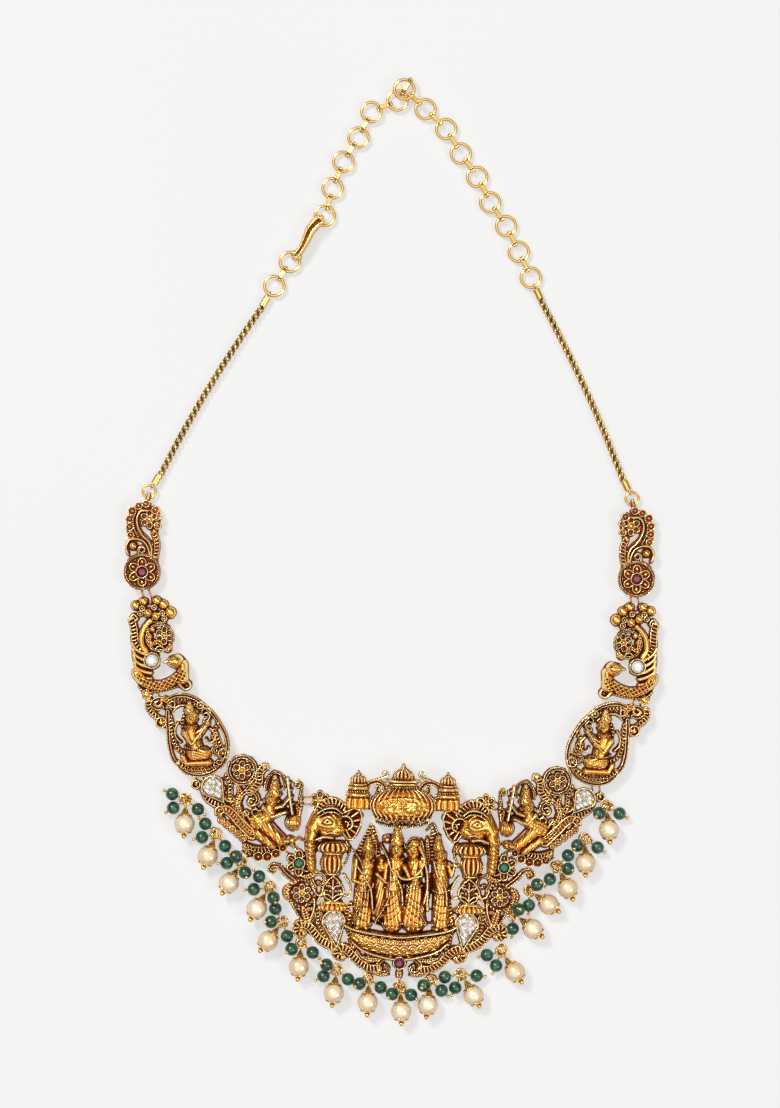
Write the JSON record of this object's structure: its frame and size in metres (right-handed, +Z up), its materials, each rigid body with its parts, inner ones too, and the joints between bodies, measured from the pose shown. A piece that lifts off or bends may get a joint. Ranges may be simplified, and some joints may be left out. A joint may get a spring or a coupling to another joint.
{
  "type": "temple necklace",
  "caption": "Temple jewellery necklace laid open as a flat loop: relief plaques in antique gold, a fringe of pearls and green beads, fine chains and a ring chain with a hook clasp.",
  "frame": {"origin": "on the surface that the necklace lies on, under the middle of its bounding box", "axes": "+Y from the centre plaque to the clasp end of the loop, +X to the right as seen from above, +Z up from the surface"},
  "size_m": [0.1342, 0.2372, 0.0066],
  "materials": {
    "antique_gold": "cast yellow gold with a red-brown antique finish in the hollows",
    "bright_gold": "polished yellow gold",
    "pearl": "soft cream lustre",
    "green_bead": "polished dark green stone",
    "white_stone": "cut and polished, clear",
    "red_stone": "cut and polished, deep red",
    "green_stone": "cut and polished, green"
  },
  "bodies": {
    "root": {"centre_plaque": "antique_gold", "musician_plaque_left": "antique_gold", "musician_plaque_right": "antique_gold", "figure_medallion_left": "antique_gold", "figure_medallion_right": "antique_gold", "peacock_plaque_left": "antique_gold", "peacock_plaque_right": "antique_gold", "flower_plaque_left": "antique_gold", "flower_plaque_right": "antique_gold", "plaque_links_left": "antique_gold", "plaque_links_right": "antique_gold", "white_pear_centre_left": "white_stone", "white_pear_centre_right": "white_stone", "white_pear_musician_left": "white_stone", "white_pear_musician_right": "white_stone", "white_stone_left": "white_stone", "white_stone_right": "white_stone", "red_stone_left": "red_stone", "red_stone_right": "red_stone", "red_stone_centre": "red_stone", "green_stone_left": "green_stone", "green_stone_right": "green_stone", "end_ring_left": "antique_gold", "end_ring_right": "antique_gold", "fine_chain_left": "antique_gold", "fine_chain_right": "antique_gold", "chain_caps_left": "antique_gold", "chain_caps_right": "antique_gold", "chain_rings_left": "bright_gold", "chain_rings_right": "bright_gold", "chain_connectors_left": "bright_gold", "chain_connectors_right": "bright_gold", "hook_clasp": "bright_gold", "pearl_pins_left": "antique_gold", "pearl_pins_right": "antique_gold", "drop_rings_left": "antique_gold", "drop_rings_right": "antique_gold", "green_beads_left": "green_bead", "green_beads_right": "green_bead", "bead_pins_left": "antique_gold", "bead_pins_right": "antique_gold", "pearl_01": "pearl", "pearl_02": "pearl", "pearl_03": "pearl", "pearl_04": "pearl", "pearl_05": "pearl", "pearl_06": "pearl", "pearl_07": "pearl", "pearl_08": "pearl", "pearl_09": "pearl", "pearl_10": "pearl", "pearl_11": "pearl", "pearl_12": "pearl", "pearl_13": "pearl", "pearl_14": "pearl", "pearl_15": "pearl", "pearl_16": "pearl", "pearl_17": "pearl"}
  },
  "joints": []
}
